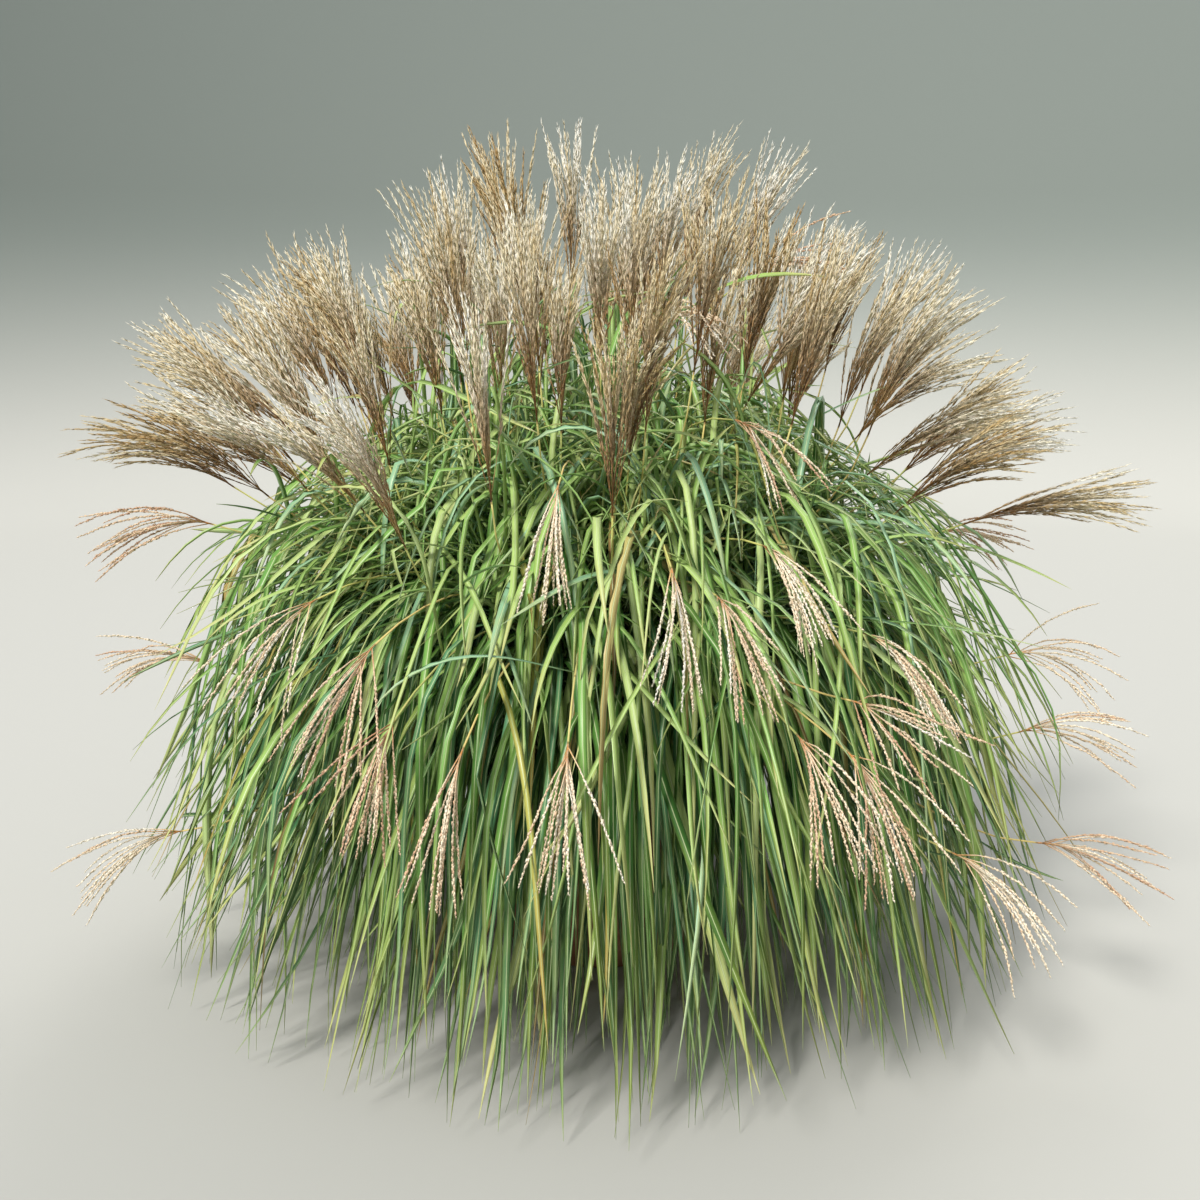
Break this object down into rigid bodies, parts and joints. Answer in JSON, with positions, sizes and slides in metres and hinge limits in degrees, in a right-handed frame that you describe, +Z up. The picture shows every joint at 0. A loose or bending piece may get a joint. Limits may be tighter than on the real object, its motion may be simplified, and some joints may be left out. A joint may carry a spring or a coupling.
{
  "type": "potted miscanthus grass clump",
  "caption": "Fountain-shaped clump of ornamental miscanthus grass in flower, with arching leaves and feathery plumes, in a plain clay tub",
  "frame": {"origin": "centre of the tub's flat foot, on the surface it stands on", "axes": "+Z up; -Y is the front; +X is to the right seen from the front, along the clump's widest spread"},
  "size_m": [2.2864, 2.0636, 1.8194],
  "materials": {
    "clay": "matt unglazed fired clay, weathered",
    "earth": "damp bark compost",
    "stem_bases": "dry papery sheaths round crowded stem bases",
    "leaf": "satin green blades with a pale midrib",
    "open_plume": "silky tan and silver seed plume on a green stem",
    "young_plume": "pinkish cream finger plume on a green stem"
  },
  "bodies": {
    "root": {"pot": "clay", "soil": "earth", "crown": "stem_bases", "tall_leaf_tuft_01": "leaf", "tall_leaf_tuft_02": "leaf", "tall_leaf_tuft_03": "leaf", "tall_leaf_tuft_04": "leaf", "tall_leaf_tuft_05": "leaf", "tall_leaf_tuft_06": "leaf", "tall_leaf_tuft_07": "leaf", "tall_leaf_tuft_08": "leaf", "low_leaf_tuft_01": "leaf", "low_leaf_tuft_02": "leaf", "low_leaf_tuft_03": "leaf", "low_leaf_tuft_04": "leaf", "low_leaf_tuft_05": "leaf", "low_leaf_tuft_06": "leaf", "low_leaf_tuft_07": "leaf", "low_leaf_tuft_08": "leaf", "upright_stem_01": "open_plume", "upright_stem_02": "open_plume", "upright_stem_03": "open_plume", "upright_stem_04": "open_plume", "upright_stem_05": "open_plume", "upright_stem_06": "open_plume", "upright_stem_07": "open_plume", "upright_stem_08": "open_plume", "upright_stem_09": "open_plume", "upright_stem_10": "open_plume", "upright_stem_11": "open_plume", "upright_stem_12": "open_plume", "upright_stem_13": "open_plume", "swept_stem_01": "open_plume", "swept_stem_02": "open_plume", "swept_stem_03": "open_plume", "swept_stem_04": "open_plume", "swept_stem_05": "open_plume", "swept_stem_06": "open_plume", "swept_stem_07": "open_plume", "swept_stem_08": "open_plume", "swept_stem_09": "open_plume", "swept_stem_10": "open_plume", "swept_stem_11": "open_plume", "swept_stem_12": "open_plume", "swept_stem_13": "open_plume", "swept_stem_14": "open_plume", "nodding_stem_01": "young_plume", "nodding_stem_02": "young_plume", "nodding_stem_03": "young_plume", "nodding_stem_04": "young_plume", "nodding_stem_05": "young_plume", "nodding_stem_06": "young_plume", "nodding_stem_07": "young_plume", "nodding_stem_08": "young_plume", "nodding_stem_09": "young_plume", "nodding_stem_10": "young_plume", "nodding_stem_11": "young_plume", "nodding_stem_12": "young_plume", "nodding_stem_13": "young_plume", "nodding_stem_14": "young_plume"}
  },
  "joints": []
}
